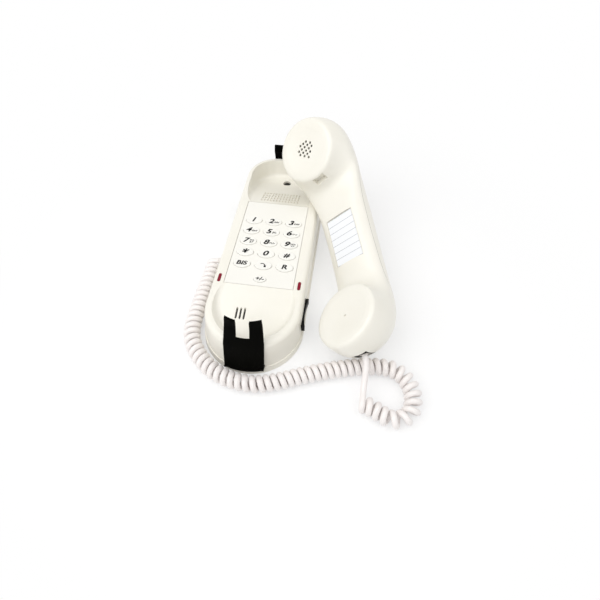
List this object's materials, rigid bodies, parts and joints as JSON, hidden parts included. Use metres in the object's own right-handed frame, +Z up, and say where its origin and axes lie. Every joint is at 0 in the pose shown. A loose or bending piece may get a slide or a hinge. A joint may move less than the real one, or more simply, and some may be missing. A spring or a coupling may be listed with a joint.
{
  "type": "corded telephone",
  "caption": "Slim corded push-button telephone, laid flat, with its handset lifted off beside the base on a curly cord, black retaining brackets and a volume rocker.",
  "frame": {"origin": "middle of the flat underside of the base", "axes": "+Z up from the table, +Y to the earpiece cup end of the base, +X to the side where the handset lies"},
  "size_m": [0.1988, 0.2813, 0.1014],
  "materials": {
    "ivory_plastic": "satin",
    "plate_plastic": "matte",
    "key_plastic": "satin",
    "silicone": "matte",
    "circuit_board": "satin",
    "red_lens": "gloss",
    "glass_tube": "gloss",
    "black_plastic": "satin",
    "black_sheet": "satin",
    "plated_steel": "satin",
    "foot_rubber": "matte",
    "cord_rubber": "matte",
    "cord_jacket": "satin",
    "card_paper": "matte",
    "clear_plug": "gloss"
  },
  "bodies": {
    "base": {"base_lower_shell": "ivory_plastic", "base_upper_shell": "ivory_plastic", "keypad_faceplate": "plate_plastic", "keypad_mat": "silicone", "main_board": "circuit_board", "lamp_lens_left": "red_lens", "lamp_lens_right": "red_lens", "lamp_leds": "red_lens", "reed_switch": "glass_tube", "ringer_speaker": "black_plastic", "base_microphone": "plated_steel", "foot_pads": "foot_rubber", "base_screws": "plated_steel", "volume_switch": "black_plastic", "line_jack": "black_plastic", "lower_bracket": "black_sheet", "upper_bracket": "black_sheet", "bracket_screws": "plated_steel", "cord_boot": "cord_rubber", "cord_coil": "cord_jacket"},
    "key_1": {"key_1": "key_plastic"},
    "key_2": {"key_2": "key_plastic"},
    "key_3": {"key_3": "key_plastic"},
    "key_4": {"key_4": "key_plastic"},
    "key_5": {"key_5": "key_plastic"},
    "key_6": {"key_6": "key_plastic"},
    "key_7": {"key_7": "key_plastic"},
    "key_8": {"key_8": "key_plastic"},
    "key_9": {"key_9": "key_plastic"},
    "key_star": {"key_star": "key_plastic"},
    "key_0": {"key_0": "key_plastic"},
    "key_hash": {"key_hash": "key_plastic"},
    "key_redial": {"key_redial": "key_plastic"},
    "key_mute": {"key_mute": "key_plastic"},
    "key_recall": {"key_recall": "key_plastic"},
    "key_sign": {"key_sign": "key_plastic"},
    "volume_rocker": {"volume_rocker": "black_plastic"},
    "handset": {"handset_front_shell": "ivory_plastic", "handset_back_shell": "ivory_plastic", "handset_screws": "plated_steel", "index_card": "card_paper", "earpiece_capsule": "black_plastic", "handset_microphone": "plated_steel", "hook_magnet": "plated_steel", "handset_weight": "plated_steel", "handset_jack": "black_plastic", "handset_plug": "clear_plug", "cord_lead": "cord_jacket"}
  },
  "joints": [
    {"name": "key_1_press", "type": "slide", "parent": "base", "child": "key_1", "axis": [0, 0, -1], "range_m": [0, 0.001], "stiffness_N_per_m": 400},
    {"name": "key_2_press", "type": "slide", "parent": "base", "child": "key_2", "axis": [0, 0, -1], "range_m": [0, 0.001], "stiffness_N_per_m": 400},
    {"name": "key_3_press", "type": "slide", "parent": "base", "child": "key_3", "axis": [0, 0, -1], "range_m": [0, 0.001], "stiffness_N_per_m": 400},
    {"name": "key_4_press", "type": "slide", "parent": "base", "child": "key_4", "axis": [0, 0, -1], "range_m": [0, 0.001], "stiffness_N_per_m": 400},
    {"name": "key_5_press", "type": "slide", "parent": "base", "child": "key_5", "axis": [0, 0, -1], "range_m": [0, 0.001], "stiffness_N_per_m": 400},
    {"name": "key_6_press", "type": "slide", "parent": "base", "child": "key_6", "axis": [0, 0, -1], "range_m": [0, 0.001], "stiffness_N_per_m": 400},
    {"name": "key_7_press", "type": "slide", "parent": "base", "child": "key_7", "axis": [0, 0, -1], "range_m": [0, 0.001], "stiffness_N_per_m": 400},
    {"name": "key_8_press", "type": "slide", "parent": "base", "child": "key_8", "axis": [0, 0, -1], "range_m": [0, 0.001], "stiffness_N_per_m": 400},
    {"name": "key_9_press", "type": "slide", "parent": "base", "child": "key_9", "axis": [0, 0, -1], "range_m": [0, 0.001], "stiffness_N_per_m": 400},
    {"name": "key_star_press", "type": "slide", "parent": "base", "child": "key_star", "axis": [0, 0, -1], "range_m": [0, 0.001], "stiffness_N_per_m": 400},
    {"name": "key_0_press", "type": "slide", "parent": "base", "child": "key_0", "axis": [0, 0, -1], "range_m": [0, 0.001], "stiffness_N_per_m": 400},
    {"name": "key_hash_press", "type": "slide", "parent": "base", "child": "key_hash", "axis": [0, 0, -1], "range_m": [0, 0.001], "stiffness_N_per_m": 400},
    {"name": "key_redial_press", "type": "slide", "parent": "base", "child": "key_redial", "axis": [0, 0, -1], "range_m": [0, 0.001], "stiffness_N_per_m": 400},
    {"name": "key_mute_press", "type": "slide", "parent": "base", "child": "key_mute", "axis": [0, 0, -1], "range_m": [0, 0.001], "stiffness_N_per_m": 400},
    {"name": "key_recall_press", "type": "slide", "parent": "base", "child": "key_recall", "axis": [0, 0, -1], "range_m": [0, 0.001], "stiffness_N_per_m": 400},
    {"name": "key_sign_press", "type": "slide", "parent": "base", "child": "key_sign", "axis": [0, 0, -1], "range_m": [0, 0.001], "stiffness_N_per_m": 400},
    {"name": "volume_rock", "type": "hinge", "parent": "base", "child": "volume_rocker", "pos_m": [0.0367, -0.072, 0.0125], "axis": [0, 0, 1], "range_deg": [-4, 4], "stiffness_Nm_per_rad": 0.08},
    {"name": "handset_lift", "type": "slide", "parent": "base", "child": "handset", "axis": [0, 0, 1], "range_m": [0, 0.12]}
  ]
}
